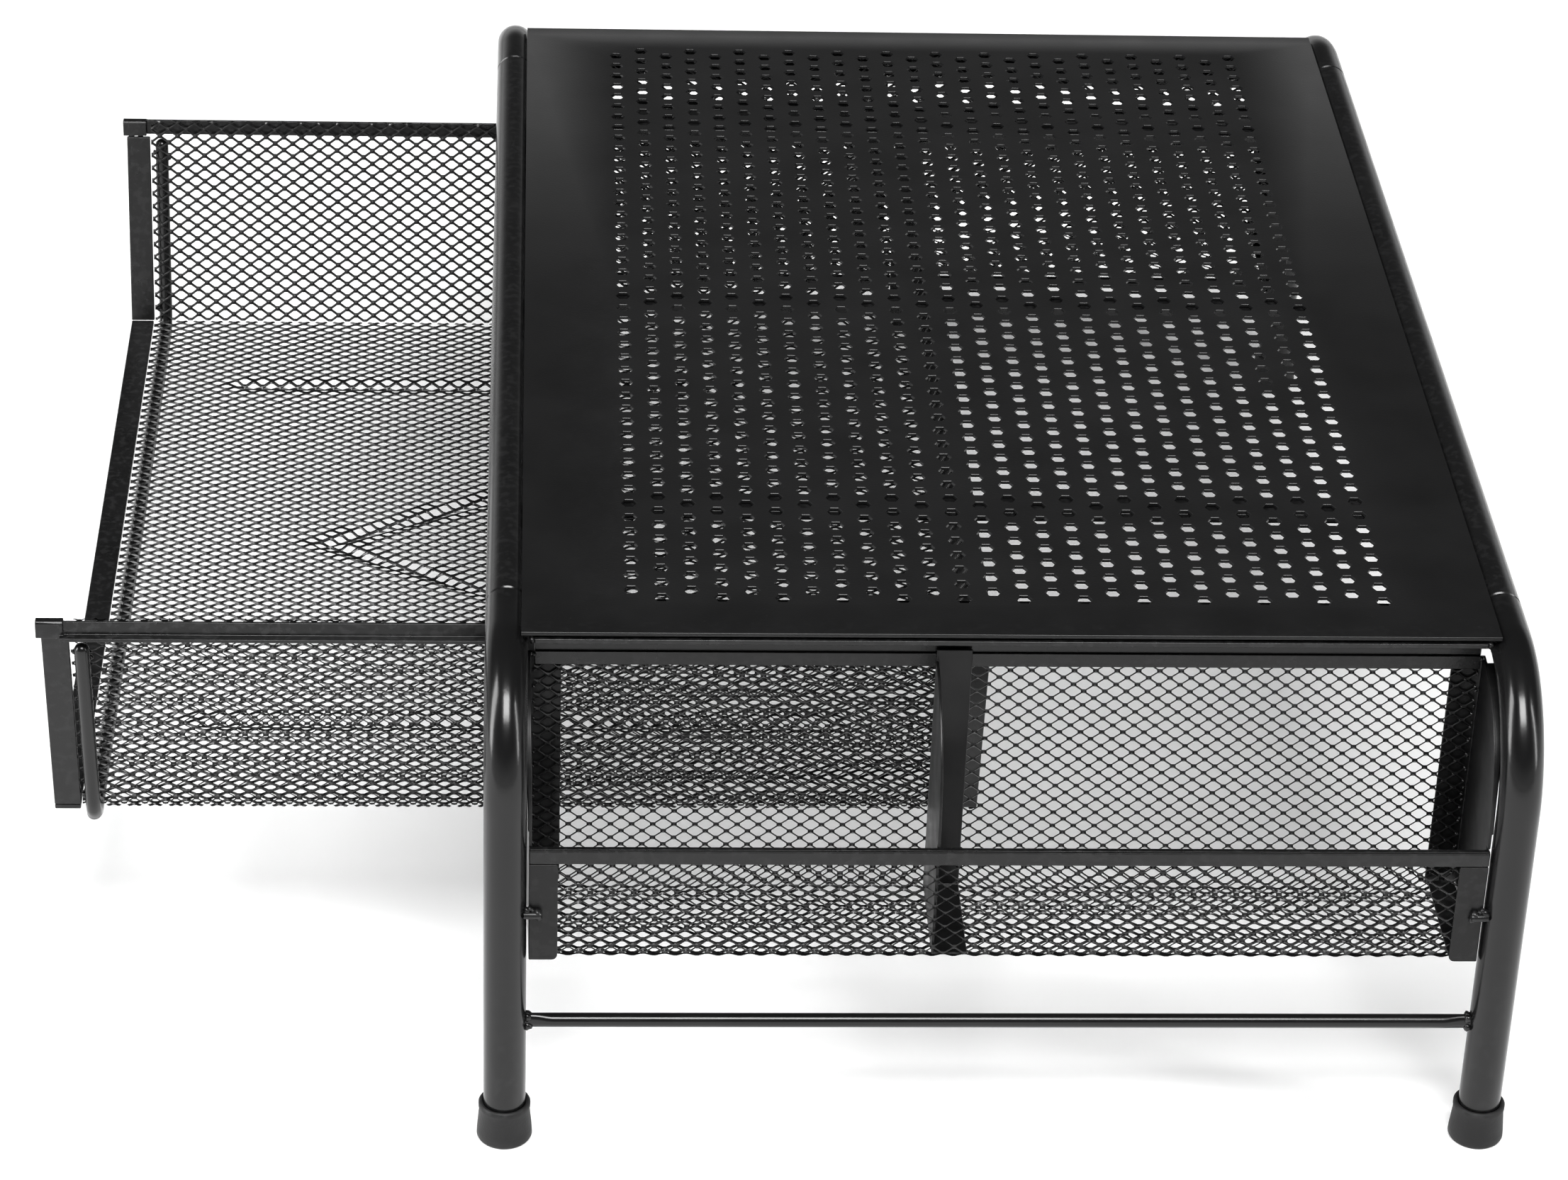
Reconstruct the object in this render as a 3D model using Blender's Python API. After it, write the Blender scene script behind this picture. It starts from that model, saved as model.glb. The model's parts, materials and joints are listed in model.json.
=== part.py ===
"""Monitor riser stand with a sliding mesh drawer and an open mesh bin at each end.

Metres, +Z up, feet on z = 0. The person using it sits on the -X side, where the drawer
comes out, so front is -X, back is +X, left is +Y and right is -Y. The drawer is modelled
partly pulled out. The origin is the bottom centre of the whole model's box in that state.
Mesh panels and the punched platform are plain sheets here, with their outer size.
"""
import math

import bmesh
import bpy
from mathutils import Vector

# ---- driving dimensions ----
CLEARANCE = 0.0003            # gap between pieces that touch or are welded
OVERALL_DEPTH = 0.292         # across the two top tubes, front to back
TOP_HEIGHT = 0.152            # desk to the top of the platform
LEG_Y = 0.22535               # leg axis from the middle of the stand
TUBE_RADIUS = 0.006
TUBE_WALL = 0.001
BEND_RADIUS = 0.035           # centre line of the leg's bend
SEAM_Y = 0.174                # joint between top tube and leg
SPIGOT_LENGTH = 0.018         # swaged end of the leg inside the top tube
TUBE_SIDES = 20
BEND_STEPS = 8

CAP_HEIGHT = 0.0123
CAP_TOP_RADIUS = 0.0073
CAP_BOTTOM_RADIUS = 0.0079
CAP_FLOOR = 0.003

SHEET = 0.0009                # steel sheet of the platform and the folded rails
PLATFORM_HALF_WIDTH = 0.1359
PLATFORM_HALF_LENGTH = 0.19785
HEM_DEPTH = 0.006             # doubled edge along both short sides of the platform
HEM_THICKNESS = 0.0013

BRACE_Y = 0.125               # outer cross braces, the third is in the middle
BRACE_WIDTH = 0.009
BRACE_HEIGHT = 0.003

LOWER_ROD_Z = 0.0404
LOWER_ROD_RADIUS = 0.0021
PINCH_LENGTH = 0.008          # flattened stretch at each end of a rod
PINCH_WIDE = 0.0026
PINCH_THIN = 0.0012
ROD_SIDES = 12
ROD_DOME = ((0.0, 0.45), (0.0006, 0.85), (0.0016, 1.0))     # drop from the tip, share of the radius

MESH = 0.0005                 # thickness of the expanded steel mesh
STRIP = 0.0008                # thickness of the flat steel strips

BIN_HALF_WIDTH = 0.1334
BIN_BACK_Y = 0.189            # back wall of a bin, from the middle of the stand
BIN_FRONT_Y = 0.226
BIN_FLOOR_Z = 0.0628
BIN_BAR_TOP_Z = 0.1412
BIN_BAR_HEIGHT = 0.0044
PLATE_TOP_Z = 0.1394
BIN_BAR_DEPTH = 0.0017
BIN_RAIL_TOP_Z = 0.1497
BIN_RAIL_REACH = 0.1982
LIP_TOP_Z = 0.0995
LIP_BAR_HEIGHT = 0.0048
LIP_BAR_DEPTH = 0.0025
FLANGE_WIDTH = 0.008          # folded front edge of an end plate
BACK_FLANGE_WIDTH = 0.0095
FLANGE_ROUND = 0.0016
PLATE_SPLAY = 0.023            # an end plate leans outward from front to back by this slope
DIVIDER_X = -0.0207
DIVIDER_FLANGE = 0.0101
STUD_Z = 0.0785
STUD_RADIUS = 0.0011

DRAWER_FRONT_X = -0.2715      # pulled out, from the middle of the stand
DRAWER_BACK_X = -0.002
DRAWER_TOP_Z = 0.1323
DRAWER_FLOOR_Z = 0.0618
DRAWER_TOP_Y = 0.1625         # outer side of the top rim
DRAWER_FLOOR_Y = 0.1495
DRAWER_RIM_HEIGHT = 0.0052
DRAWER_RIM_THICKNESS = 0.001
DRAWER_LEDGE = 0.0025         # foot of the rim, which rides on the rail
DRAWER_LEDGE_HEIGHT = 0.0011
POST_WIDTH = 0.0078
SILL_WIDTH = 0.0075
BLOCK_LENGTH = 0.0078
BLOCK_REACH = 0.0012          # how far the corner block stands out past the front
DRAWER_ROD_RADIUS = 0.0022
DRAWER_ROD_INSET = 0.0115     # rod axis behind the drawer's front edge
DRAWER_ROD_TOP_Z = 0.1248
ROD_BEND_RADIUS = 0.0048

RAIL_WEB_Y = 0.1656           # inner face of the drawer rail's upright
RAIL_BOTTOM_Z = 0.1260
RAIL_HALF_LENGTH = 0.138

# ---- worked out from the above ----
TUBE_X = OVERALL_DEPTH / 2 - TUBE_RADIUS
TUBE_Z = TOP_HEIGHT - TUBE_RADIUS
# The stand's middle, from the middle of the whole box with the drawer out.
STAND_X = (BLOCK_REACH - DRAWER_FRONT_X - TUBE_X - CAP_BOTTOM_RADIUS) / 2
DRAWER_RIM_BOTTOM_Z = DRAWER_TOP_Z - DRAWER_RIM_HEIGHT
WALL_TOP_Y = DRAWER_TOP_Y - DRAWER_RIM_THICKNESS - CLEARANCE
WALL_TOP_Z = DRAWER_TOP_Z + 0.0002
WALL_BOTTOM_Z = DRAWER_FLOOR_Z + CLEARANCE
POST_TOP_Z = DRAWER_RIM_BOTTOM_Z - CLEARANCE
PANEL_HALF_WIDTH = BIN_HALF_WIDTH - STRIP - CLEARANCE     # what fits between the end plates

SIDES = {"left": 1, "right": -1}
ENDS = {"front": -1, "back": 1}


def clear_scene():
    for obj in list(bpy.data.objects):
        bpy.data.objects.remove(obj, do_unlink=True)


# ---- materials ----
def principled(name, colour, roughness, metallic):
    material = bpy.data.materials.new(name)
    material.use_nodes = True
    shader = material.node_tree.nodes["Principled BSDF"]
    shader.inputs["Base Color"].default_value = (*colour, 1.0)
    shader.inputs["Roughness"].default_value = roughness
    shader.inputs["Metallic"].default_value = metallic
    material.diffuse_color = (*colour, 1.0)
    return material


def black_tube_paint():
    return principled("black_tube_paint", (0.010, 0.010, 0.011), 0.32, 0.0)


def black_sheet_paint():
    return principled("black_sheet_paint", (0.012, 0.012, 0.013), 0.45, 0.0)


def black_mesh_paint():
    return principled("black_mesh_paint", (0.014, 0.014, 0.015), 0.40, 0.0)


def foot_rubber():
    return principled("foot_rubber", (0.020, 0.020, 0.021), 0.75, 0.0)


# ---- helpers that turn outlines and paths into closed solids ----
def place(name, bm, material, smooth=False):
    """Finish a bmesh drawn about the middle of the stand as a named object."""
    bmesh.ops.recalc_face_normals(bm, faces=bm.faces)
    mesh = bpy.data.meshes.new(name)
    bm.to_mesh(mesh)
    bm.free()
    if smooth:
        mesh.shade_smooth()
        mesh.set_sharp_from_angle(angle=math.radians(35))
    mesh.materials.append(material)
    obj = bpy.data.objects.new(name, mesh)
    obj.location.x = STAND_X
    bpy.context.scene.collection.objects.link(obj)
    return obj


def prism_mesh(outline, along, low, high):
    """Extrude a flat outline. along is the axis left out of the outline's two coordinates."""
    def corner(point, depth):
        values = list(point)
        values.insert("XYZ".index(along), depth)
        return Vector(values)

    bm = bmesh.new()
    rings = [[bm.verts.new(corner(p, depth)) for p in outline] for depth in (low, high)]
    bm.faces.new(rings[0])
    bm.faces.new(rings[1])
    join_rings(bm, rings[0], rings[1])
    return bm


def prism(name, outline, along, low, high, material):
    return place(name, prism_mesh(outline, along, low, high), material)


def box(name, low, high, material):
    outline = [(low[0], low[1]), (high[0], low[1]), (high[0], high[1]), (low[0], high[1])]
    return prism(name, outline, "Z", low[2], high[2], material)


def join_rings(bm, first, second):
    for i, vert in enumerate(first):
        j = (i + 1) % len(first)
        bm.faces.new((vert, first[j], second[j], second[i]))


def ring(bm, centre, across, up, half_across, half_up, sides):
    """One oval of vertices about centre, in the plane of the across and up directions."""
    verts = []
    for i in range(sides):
        angle = 2 * math.pi * i / sides
        offset = across * (half_across * math.cos(angle)) + up * (half_up * math.sin(angle))
        verts.append(bm.verts.new(centre + offset))
    return verts


def sweep_mesh(stations, sides):
    """Solid bar through stations of (centre, across, up, half_across, half_up)."""
    bm = bmesh.new()
    rings = [ring(bm, *station, sides) for station in stations]
    for first, second in zip(rings, rings[1:]):
        join_rings(bm, first, second)
    bm.faces.new(rings[0])
    bm.faces.new(rings[-1])
    return bm


def pipe_mesh(outer, inner, sides):
    """Open pipe: both lists hold stations from one end to the other."""
    bm = bmesh.new()
    skins = [[ring(bm, *station, sides) for station in skin] for skin in (outer, inner)]
    for rings in skins:
        for first, second in zip(rings, rings[1:]):
            join_rings(bm, first, second)
    join_rings(bm, skins[0][0], skins[1][0])
    join_rings(bm, skins[0][-1], skins[1][-1])
    return bm


def unite(obj, other):
    boolean(obj, other, "UNION")


def boolean(obj, other, operation):
    """Boolean modifier against a hidden helper object."""
    other.hide_render = True
    other.display_type = "WIRE"
    modifier = obj.modifiers.new(operation.lower(), "BOOLEAN")
    modifier.operation = operation
    modifier.solver = "EXACT"
    modifier.object = other


def arc(centre, half_a, half_b, start_deg, end_deg, steps):
    """Points of an ellipse's arc, both ends included."""
    points = []
    for i in range(steps + 1):
        angle = math.radians(start_deg + (end_deg - start_deg) * i / steps)
        points.append((centre[0] + half_a * math.cos(angle), centre[1] + half_b * math.sin(angle)))
    return points


def mirrored(outline, sign):
    return [(sign * a, b) for a, b in outline]


# ---- frame ----
def build_top_tube(end, material):
    """Straight hollow tube that carries the platform's long side."""
    x = ENDS[end] * TUBE_X
    across, up = Vector((1, 0, 0)), Vector((0, 0, 1))
    skins = []
    for radius in (TUBE_RADIUS, TUBE_RADIUS - TUBE_WALL):
        skins.append([(Vector((x, sign * SEAM_Y, TUBE_Z)), across, up, radius, radius) for sign in (-1, 1)])
    place(f"{end}_top_tube", pipe_mesh(*skins, TUBE_SIDES), material, smooth=True)


def leg_skin(x, sign, tube_radius, spigot_radius):
    """Stations of a leg's outer or inner skin, from the spigot's tip down to the foot."""
    side = Vector((1, 0, 0))
    bend_centre = Vector((x, sign * (LEG_Y - BEND_RADIUS), TUBE_Z - BEND_RADIUS))
    level = Vector((0, 0, 1))
    shoulder_y = SEAM_Y + CLEARANCE
    stations = []
    for y, radius in ((SEAM_Y - SPIGOT_LENGTH, spigot_radius), (shoulder_y, spigot_radius),
                      (shoulder_y, tube_radius)):
        stations.append((Vector((x, sign * y, TUBE_Z)), side, level, radius, radius))
    for i in range(BEND_STEPS + 1):
        angle = math.pi / 2 * i / BEND_STEPS
        outward = Vector((0, sign * math.sin(angle), math.cos(angle)))
        stations.append((bend_centre + outward * BEND_RADIUS, side, outward, tube_radius, tube_radius))
    foot = Vector((x, sign * LEG_Y, CAP_FLOOR + CLEARANCE))
    stations.append((foot, side, Vector((0, sign, 0)), tube_radius, tube_radius))
    return stations


def build_leg(end, hand, material):
    """Bent hollow tube: a spigot in the top tube, a quarter bend and the upright leg."""
    x, sign = ENDS[end] * TUBE_X, SIDES[hand]
    spigot = TUBE_RADIUS - TUBE_WALL - CLEARANCE
    outer = leg_skin(x, sign, TUBE_RADIUS, spigot)
    inner = leg_skin(x, sign, TUBE_RADIUS - TUBE_WALL, spigot - TUBE_WALL)
    # The inner skin narrows one wall's thickness before the outer shoulder.
    for i in (1, 2):
        inner[i][0].y += sign * TUBE_WALL
    place(f"leg_{end}_{hand}", pipe_mesh(outer, inner, TUBE_SIDES), material, smooth=True)


def build_foot_cap(end, hand, material):
    """Rubber cup that the leg's lower end stands in."""
    centre = Vector((ENDS[end] * TUBE_X, SIDES[hand] * LEG_Y, 0))
    bore = TUBE_RADIUS + CLEARANCE
    chamfer = 0.0006
    profile = [(CAP_BOTTOM_RADIUS - chamfer, 0), (CAP_BOTTOM_RADIUS, chamfer),
               (CAP_TOP_RADIUS, CAP_HEIGHT - chamfer), (CAP_TOP_RADIUS - chamfer, CAP_HEIGHT),
               (bore, CAP_HEIGHT), (bore, CAP_FLOOR)]
    across, along = Vector((1, 0, 0)), Vector((0, 1, 0))
    stations = [(centre + Vector((0, 0, z)), across, along, r, r) for r, z in profile]
    place(f"foot_cap_{end}_{hand}", sweep_mesh(stations, TUBE_SIDES), material, smooth=True)


def build_platform(material):
    """Top sheet with a doubled, rounded edge along each short side."""
    half = PLATFORM_HALF_LENGTH
    crease = half - HEM_DEPTH
    hem_radius = HEM_THICKNESS / 2
    hem_top = TOP_HEIGHT - 0.0002
    nose = arc((half - hem_radius, hem_top - hem_radius), hem_radius, hem_radius, 90, -90, 6)
    right_end = [(crease, TOP_HEIGHT), *nose, (crease, hem_top - HEM_THICKNESS),
                 (crease, TOP_HEIGHT - SHEET)]
    left_end = [(-y, z) for y, z in reversed(right_end)]
    prism("platform", right_end + left_end, "X", -PLATFORM_HALF_WIDTH, PLATFORM_HALF_WIDTH, material)


def build_brace(name, y, material):
    """Downward open channel under the platform, from tube to tube."""
    top = TOP_HEIGHT - SHEET - CLEARANCE
    bottom = top - BRACE_HEIGHT
    half = BRACE_WIDTH / 2
    outline = [(-half, bottom), (-half, top), (half, top), (half, bottom), (half - SHEET, bottom),
               (half - SHEET, top - SHEET), (SHEET - half, top - SHEET), (SHEET - half, bottom)]
    reach = TUBE_X - TUBE_RADIUS - CLEARANCE
    prism(name, [(y + a, b) for a, b in outline], "X", -reach, reach, material)


def build_lower_rod(hand, material):
    """Round cross rod between the two legs of one end, flattened where it is welded on."""
    y = SIDES[hand] * LEG_Y
    across, up = Vector((0, 1, 0)), Vector((0, 0, 1))
    reach = TUBE_X - TUBE_RADIUS - CLEARANCE
    inner = reach - PINCH_LENGTH
    pinched = (PINCH_THIN, PINCH_WIDE)
    full = (LOWER_ROD_RADIUS, LOWER_ROD_RADIUS)
    half = ((inner, full), (inner + PINCH_LENGTH / 2, pinched), (reach, pinched))
    places = [(-x, size) for x, size in reversed(half)] + list(half)
    stations = [(Vector((x, y, LOWER_ROD_Z)), across, up, *size) for x, size in places]
    place(f"lower_cross_rod_{hand}", sweep_mesh(stations, ROD_SIDES), material, smooth=True)


def build_drawer_rail(hand, material):
    """C channel hung under the top tubes. Its lower lip carries the drawer's rim ledge."""
    top = TUBE_Z - TUBE_RADIUS - CLEARANCE
    outer = RAIL_WEB_Y + STRIP
    lip_end = DRAWER_TOP_Y + CLEARANCE
    flange_end = DRAWER_TOP_Y - 0.0025
    outline = [(outer, RAIL_BOTTOM_Z), (outer, top), (flange_end, top), (flange_end, top - STRIP),
               (RAIL_WEB_Y, top - STRIP), (RAIL_WEB_Y, RAIL_BOTTOM_Z + STRIP),
               (lip_end, RAIL_BOTTOM_Z + STRIP), (lip_end, RAIL_BOTTOM_Z)]
    prism(f"drawer_rail_{hand}", mirrored(outline, SIDES[hand]), "X",
          -RAIL_HALF_LENGTH, RAIL_HALF_LENGTH, material)


# ---- end bins ----
CURVE_CENTRE = (BIN_BACK_Y + 0.0021, LIP_TOP_Z + 0.0025)
CURVE_STEPS = 14


def plate_front():
    """Front edge of an upright plate: up to the lip bar, behind it, then curved back to the rail."""
    behind = BIN_FRONT_Y - LIP_BAR_DEPTH / 2 - CLEARANCE
    under, over = LIP_TOP_Z - LIP_BAR_HEIGHT - CLEARANCE, LIP_TOP_Z + CLEARANCE
    curve = arc(CURVE_CENTRE, BIN_FRONT_Y - CURVE_CENTRE[0], PLATE_TOP_Z - CURVE_CENTRE[1],
                0, 90, CURVE_STEPS)
    return [(behind, under), (behind, over), (BIN_FRONT_Y, over), *curve]


def build_bin_top_rail(hand, material):
    """Folded rail under the platform's edge: a hanging web with a flange that turns down."""
    web = BIN_BACK_Y
    bar_bottom = BIN_BAR_TOP_Z - BIN_BAR_HEIGHT
    lip, lip_height = 0.0012, 0.0015
    outline = [(web, bar_bottom), (web, BIN_RAIL_TOP_Z), (BIN_RAIL_REACH, BIN_RAIL_TOP_Z),
               (BIN_RAIL_REACH, BIN_RAIL_TOP_Z - lip_height),
               (BIN_RAIL_REACH - lip, BIN_RAIL_TOP_Z - lip_height),
               (BIN_RAIL_REACH - lip, BIN_RAIL_TOP_Z - SHEET), (web + SHEET, BIN_RAIL_TOP_Z - SHEET),
               (web + SHEET, BIN_BAR_TOP_Z), (web + BIN_BAR_DEPTH, BIN_BAR_TOP_Z),
               (web + BIN_BAR_DEPTH, bar_bottom)]
    prism(f"{hand}_bin_top_rail", mirrored(outline, SIDES[hand]), "X",
          -PANEL_HALF_WIDTH, PANEL_HALF_WIDTH, material)


def build_bin_basket(hand, material):
    """One mesh sheet folded twice: back wall, floor and low front wall."""
    back = BIN_BACK_Y - CLEARANCE
    lip = LIP_TOP_Z - LIP_BAR_HEIGHT - CLEARANCE
    outline = [(back - MESH, BIN_FLOOR_Z - MESH), (BIN_FRONT_Y, BIN_FLOOR_Z - MESH), (BIN_FRONT_Y, lip),
               (BIN_FRONT_Y - MESH, lip), (BIN_FRONT_Y - MESH, BIN_FLOOR_Z), (back, BIN_FLOOR_Z),
               (back, BIN_RAIL_TOP_Z), (back - MESH, BIN_RAIL_TOP_Z)]
    prism(f"{hand}_bin_basket_mesh", mirrored(outline, SIDES[hand]), "X",
          -PANEL_HALF_WIDTH, PANEL_HALF_WIDTH, material)


def build_bin_lip_bar(hand, material):
    """Folded bar along the top of the low front wall."""
    low, high = LIP_TOP_Z - LIP_BAR_HEIGHT, LIP_TOP_Z
    y0, y1 = BIN_FRONT_Y - LIP_BAR_DEPTH / 2, BIN_FRONT_Y + LIP_BAR_DEPTH / 2
    bevel = 0.0006
    outline = [(y0, low), (y1, low), (y1, high - bevel), (y1 - bevel, high), (y0 + bevel, high),
               (y0, high - bevel)]
    prism(f"{hand}_bin_lip_bar", mirrored(outline, SIDES[hand]), "X",
          -BIN_HALF_WIDTH, BIN_HALF_WIDTH, material)


def build_bin_end_plate(hand, end, material):
    """Solid side wall with a curved front edge, folded over the mesh at its back and its front."""
    sign, away = SIDES[hand], ENDS[end]
    back = BIN_BACK_Y - MESH - 2 * CLEARANCE - STRIP
    front = BIN_FRONT_Y + CLEARANCE + STRIP
    bottom, under_lip = BIN_FLOOR_Z - MESH, LIP_TOP_Z - LIP_BAR_HEIGHT - CLEARANCE
    outline = [(back, bottom), (front, bottom), (front, under_lip), *plate_front(),
               (back, PLATE_TOP_Z)]
    plate = prism(f"{hand}_bin_end_plate_{end}", mirrored(outline, sign), "X",
                  away * (BIN_HALF_WIDTH - STRIP), away * BIN_HALF_WIDTH, material)

    inner = BIN_HALF_WIDTH - FLANGE_WIDTH
    corner = arc((inner + FLANGE_ROUND, bottom + FLANGE_ROUND), FLANGE_ROUND, FLANGE_ROUND, 180, 270, 4)
    flange = [(inner, under_lip), *corner, (BIN_HALF_WIDTH, bottom), (BIN_HALF_WIDTH, under_lip)]
    front_fold = prism(f"cutter_front_flange_{hand}_{end}", mirrored(flange, away), "Y",
                       sign * (front - STRIP), sign * front, material)
    inner = BIN_HALF_WIDTH - BACK_FLANGE_WIDTH
    flange = [(inner, bottom), (BIN_HALF_WIDTH, bottom), (BIN_HALF_WIDTH, PLATE_TOP_Z),
              (inner, PLATE_TOP_Z)]
    back_fold = prism(f"cutter_back_flange_{hand}_{end}", mirrored(flange, away), "Y",
                      sign * back, sign * (back + STRIP), material)
    for piece in (plate, front_fold, back_fold):
        for vert in piece.data.vertices:
            vert.co.x += away * PLATE_SPLAY * (front - abs(vert.co.y))
    unite(plate, front_fold)
    unite(plate, back_fold)


def build_bin_stud(hand, end, material):
    """Short pin welded between an end plate's front fold and the leg."""
    sign, away = SIDES[hand], ENDS[end]
    across, up = Vector((0, 1, 0)), Vector((0, 0, 1))
    y = BIN_FRONT_Y + 2 * CLEARANCE + STRIP + STUD_RADIUS
    leg_x = TUBE_X - math.sqrt(TUBE_RADIUS ** 2 - (y - STUD_RADIUS - LEG_Y) ** 2)
    places = (away * (BIN_HALF_WIDTH - 0.0024), away * (leg_x - 2 * CLEARANCE))
    stations = [(Vector((x, sign * y, STUD_Z)), across, up, STUD_RADIUS, STUD_RADIUS) for x in places]
    place(f"{hand}_bin_stud_{end}", sweep_mesh(stations, ROD_SIDES), material, smooth=True)


def build_bin_divider(hand, material):
    """Solid divider with a curved front edge, folded along the back wall and along the floor."""
    sign = SIDES[hand]
    back = BIN_BACK_Y + BIN_BAR_DEPTH + CLEARANCE
    floor = BIN_FLOOR_Z + CLEARANCE
    front = BIN_FRONT_Y - MESH - CLEARANCE
    under_lip = LIP_TOP_Z - LIP_BAR_HEIGHT - CLEARANCE
    outline = [(back, floor), (front, floor), (front, under_lip), *plate_front(), (back, PLATE_TOP_Z)]
    plate = prism(f"{hand}_bin_divider", mirrored(outline, sign), "X", DIVIDER_X, DIVIDER_X + STRIP, material)
    start, end, top = DIVIDER_X, DIVIDER_X + DIVIDER_FLANGE, BIN_BAR_TOP_Z + 0.0018
    flange = [(start, floor), (end, floor), (end, top), (start, top)]
    unite(plate, prism(f"cutter_divider_flange_{hand}", flange, "Y", sign * back, sign * (back + STRIP),
                       material))
    foot = [(back, floor), (front, floor), (front, floor + STRIP), (back, floor + STRIP)]
    unite(plate, prism(f"cutter_divider_foot_{hand}", mirrored(foot, sign), "X", start, end, material))


# ---- drawer ----
def wall_point(height, offset):
    """Y of the drawer's sloping side wall at a height, moved outward by offset."""
    slope = (WALL_TOP_Y - DRAWER_FLOOR_Y) / (WALL_TOP_Z - DRAWER_FLOOR_Z)
    return DRAWER_FLOOR_Y + slope * (height - DRAWER_FLOOR_Z) + offset


def wall_outline(bottom, top, inner, outer):
    return [(wall_point(bottom, inner), bottom), (wall_point(bottom, outer), bottom),
            (wall_point(top, outer), top), (wall_point(top, inner), top)]


def build_drawer_rim(hand, material):
    """Strip round the top of a side wall, with a foot that rides on the rail and a corner block."""
    sign = SIDES[hand]
    inner, outer = DRAWER_TOP_Y - DRAWER_RIM_THICKNESS, DRAWER_TOP_Y
    ledge = DRAWER_TOP_Y + DRAWER_LEDGE
    low, ledge_top = DRAWER_RIM_BOTTOM_Z, DRAWER_RIM_BOTTOM_Z + DRAWER_LEDGE_HEIGHT
    outline = [(inner, low), (ledge, low), (ledge, ledge_top), (outer, ledge_top), (outer, DRAWER_TOP_Z),
               (inner, DRAWER_TOP_Z)]
    start = DRAWER_FRONT_X - BLOCK_REACH
    end = start + BLOCK_LENGTH
    rim = prism(f"drawer_rim_{hand}", mirrored(outline, sign), "X", end - 0.001, DRAWER_BACK_X, material)
    high, bevel = DRAWER_TOP_Z + 0.0002, 0.0006
    near, far = inner - 0.0016, outer + 0.0005
    block = [(near, low), (far, low), (far, high - bevel), (far - bevel, high), (near + bevel, high),
             (near, high - bevel)]
    unite(rim, prism(f"cutter_block_{hand}", mirrored(block, sign), "X", start, end, material))


def build_drawer_back_rim(material):
    """Strip along the top of the back wall, between the two side rims."""
    reach = DRAWER_TOP_Y - DRAWER_RIM_THICKNESS - CLEARANCE
    box("drawer_rim_back", (DRAWER_BACK_X - DRAWER_RIM_THICKNESS, -reach, DRAWER_RIM_BOTTOM_Z),
        (DRAWER_BACK_X, reach, DRAWER_TOP_Z), material)


def build_drawer_side(hand, material, mesh_material):
    """Sloping mesh side wall with a flat post at its front and back ends."""
    sign = SIDES[hand]
    mesh_start = DRAWER_FRONT_X + POST_WIDTH + CLEARANCE
    mesh_end = DRAWER_BACK_X - POST_WIDTH - CLEARANCE
    thin = wall_outline(WALL_BOTTOM_Z, WALL_TOP_Z, -MESH, 0.0)
    prism(f"drawer_side_mesh_{hand}", mirrored(thin, sign), "X", mesh_start, mesh_end, mesh_material)
    thick = wall_outline(WALL_BOTTOM_Z, POST_TOP_Z, -STRIP, STRIP / 2)
    front_end, back_start = DRAWER_FRONT_X + POST_WIDTH, DRAWER_BACK_X - POST_WIDTH
    prism(f"drawer_front_post_{hand}", mirrored(thick, sign), "X", DRAWER_FRONT_X, front_end, material)
    prism(f"drawer_back_post_{hand}", mirrored(thick, sign), "X", back_start, DRAWER_BACK_X, material)


def build_drawer_back_mesh(material):
    """Upright mesh back wall that narrows towards the floor."""
    inset = STRIP + CLEARANCE
    low, high = wall_point(WALL_BOTTOM_Z, -inset), wall_point(WALL_TOP_Z, -inset)
    outline = [(-low, WALL_BOTTOM_Z), (low, WALL_BOTTOM_Z), (high, WALL_TOP_Z), (-high, WALL_TOP_Z)]
    x = DRAWER_BACK_X - DRAWER_RIM_THICKNESS - CLEARANCE
    prism("drawer_back_mesh", outline, "X", x - MESH, x, material)


def build_drawer_floor(material, mesh_material):
    """Mesh floor, with the flat sill along its open front edge."""
    reach = DRAWER_FLOOR_Y
    low, high = DRAWER_FLOOR_Z - MESH, DRAWER_FLOOR_Z
    sill_end = DRAWER_FRONT_X + SILL_WIDTH
    box("drawer_front_sill", (DRAWER_FRONT_X, -reach, DRAWER_FLOOR_Z - 2 * STRIP),
        (sill_end, reach, high), material)
    box("drawer_floor_mesh", (sill_end + CLEARANCE, -reach, low), (DRAWER_BACK_X, reach, high),
        mesh_material)


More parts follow.
